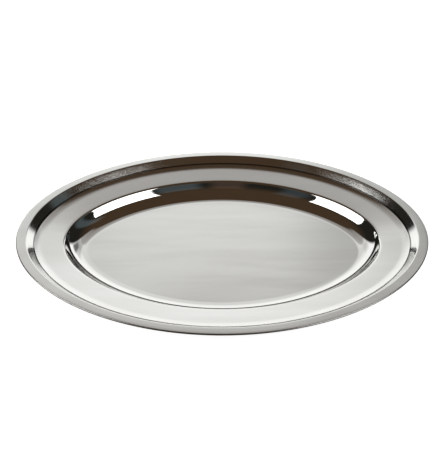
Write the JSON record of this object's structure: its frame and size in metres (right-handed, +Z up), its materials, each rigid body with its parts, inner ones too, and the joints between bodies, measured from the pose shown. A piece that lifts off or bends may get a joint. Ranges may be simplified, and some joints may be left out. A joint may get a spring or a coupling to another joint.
{
  "type": "oval serving platter",
  "caption": "Oval stainless steel serving platter: flat base, shallow well, wide rim, raised step and a level flange with its edge turned under.",
  "frame": {"origin": "centre of the underside of the flat base, on the surface that the platter stands on", "axes": "+X along the platter's length, +Y across its width, +Z up out of the well"},
  "size_m": [0.35, 0.2524, 0.0231],
  "materials": {
    "steel": "mirror polished on the walls, satin polished on the base, rim and flange"
  },
  "bodies": {
    "root": {"platter": "steel"}
  },
  "joints": []
}
